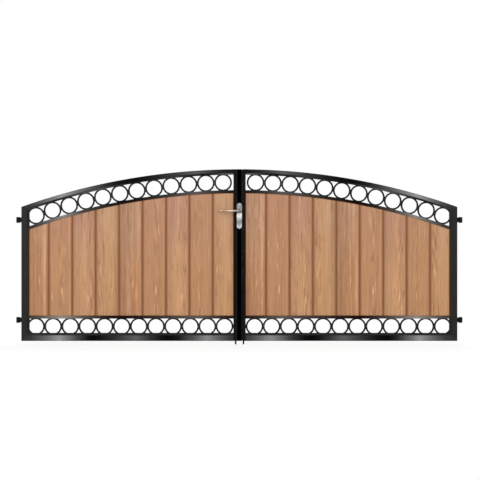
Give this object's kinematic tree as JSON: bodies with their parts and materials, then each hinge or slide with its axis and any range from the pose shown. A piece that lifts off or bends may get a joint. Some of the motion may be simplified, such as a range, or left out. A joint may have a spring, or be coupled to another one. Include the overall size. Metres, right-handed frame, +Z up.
{
  "type": "arched double driveway gate",
  "caption": "Pair of arched driveway gate leaves in black steel box section with ring rows, upright timber boards, a lever lock and drop bolts.",
  "frame": {"origin": "on the centre line between the leaves, halfway through their depth, at the height of the drop rods' tips", "axes": "+X along the closed pair to the right seen from the front, +Y towards the rear, +Z up"},
  "size_m": [3.022, 0.138, 1.187],
  "materials": {
    "timber": "oiled softwood with open grain",
    "black_steel": "semi-gloss black powder coat",
    "black_fittings": "satin black powder coat",
    "satin_metal": "satin",
    "lock_steel": "zinc plated",
    "cylinder_brass": "nickel plated",
    "pin_steel": "greased steel",
    "rubber": "matt"
  },
  "bodies": {
    "hinge_pins": {"hinge_pins": "pin_steel"},
    "left_leaf": {"left_hinge_stile": "black_steel", "left_meeting_stile": "black_steel", "left_bottom_rail": "black_steel", "left_arch_rail": "black_steel", "left_ring_band": "black_steel", "left_upper_channel": "black_steel", "left_lower_channel": "black_steel", "left_retaining_beads": "black_steel", "left_upper_rings": "black_steel", "left_lower_rings": "black_steel", "left_board_1": "timber", "left_board_2": "timber", "left_board_3": "timber", "left_board_4": "timber", "left_board_5": "timber", "left_board_6": "timber", "left_board_7": "timber", "left_board_8": "timber", "left_board_9": "timber", "left_hinge_eyes": "black_fittings", "left_rod_guides": "black_fittings", "lock_post": "black_steel", "closing_seal": "rubber", "lock_case": "lock_steel", "front_lever_plate": "satin_metal", "rear_lever_plate": "satin_metal", "plate_screws": "satin_metal", "key_cylinder": "cylinder_brass"},
    "right_leaf": {"right_hinge_stile": "black_steel", "right_meeting_stile": "black_steel", "right_bottom_rail": "black_steel", "right_arch_rail": "black_steel", "right_ring_band": "black_steel", "right_upper_channel": "black_steel", "right_lower_channel": "black_steel", "right_retaining_beads": "black_steel", "right_upper_rings": "black_steel", "right_lower_rings": "black_steel", "right_board_1": "timber", "right_board_2": "timber", "right_board_3": "timber", "right_board_4": "timber", "right_board_5": "timber", "right_board_6": "timber", "right_board_7": "timber", "right_board_8": "timber", "right_board_9": "timber", "right_hinge_eyes": "black_fittings", "right_rod_guides": "black_fittings", "strike_plate": "lock_steel"},
    "lever_set": {"front_lever": "satin_metal", "rear_lever": "satin_metal", "spindle": "lock_steel", "follower": "lock_steel"},
    "latch_bolt": {"latch_bolt": "lock_steel"},
    "key_plug": {"key_plug": "cylinder_brass"},
    "deadbolt": {"deadbolt": "lock_steel"},
    "left_drop_rod": {"left_drop_rod": "black_fittings"},
    "right_drop_rod": {"right_drop_rod": "black_fittings"}
  },
  "joints": [
    {"name": "left_leaf_swing", "type": "hinge", "parent": "hinge_pins", "child": "left_leaf", "pos_m": [-1.497, 0, 0.5], "axis": [0, 0, 1], "range_deg": [0, 100]},
    {"name": "right_leaf_swing", "type": "hinge", "parent": "hinge_pins", "child": "right_leaf", "pos_m": [1.497, 0, 0.5], "axis": [0, 0, -1], "range_deg": [0, 100]},
    {"name": "lever_turn", "type": "hinge", "parent": "left_leaf", "child": "lever_set", "pos_m": [0, 0, 0.905], "axis": [0, -1, 0], "range_deg": [0, 45], "stiffness_Nm_per_rad": 1, "springref_deg": -17.19},
    {"name": "latch_slide", "type": "slide", "parent": "left_leaf", "child": "latch_bolt", "axis": [-1, 0, 0], "range_m": [0, 0.01]},
    {"name": "key_turn", "type": "hinge", "parent": "left_leaf", "child": "key_plug", "pos_m": [0, 0, 0.833], "axis": [0, -1, 0], "range_deg": [0, 360]},
    {"name": "deadbolt_throw", "type": "slide", "parent": "left_leaf", "child": "deadbolt", "axis": [1, 0, 0], "range_m": [0, 0.0161]},
    {"name": "left_rod_drop", "type": "slide", "parent": "left_leaf", "child": "left_drop_rod", "axis": [0, 0, -1], "range_m": [0, 0.1]},
    {"name": "right_rod_drop", "type": "slide", "parent": "right_leaf", "child": "right_drop_rod", "axis": [0, 0, -1], "range_m": [0, 0.1]}
  ],
  "couplings": [
    {"joint": "latch_slide", "follows": "lever_turn", "m_per_rad": 0.0126},
    {"joint": "deadbolt_throw", "follows": "key_turn", "m_per_rad": 0.00255}
  ]
}
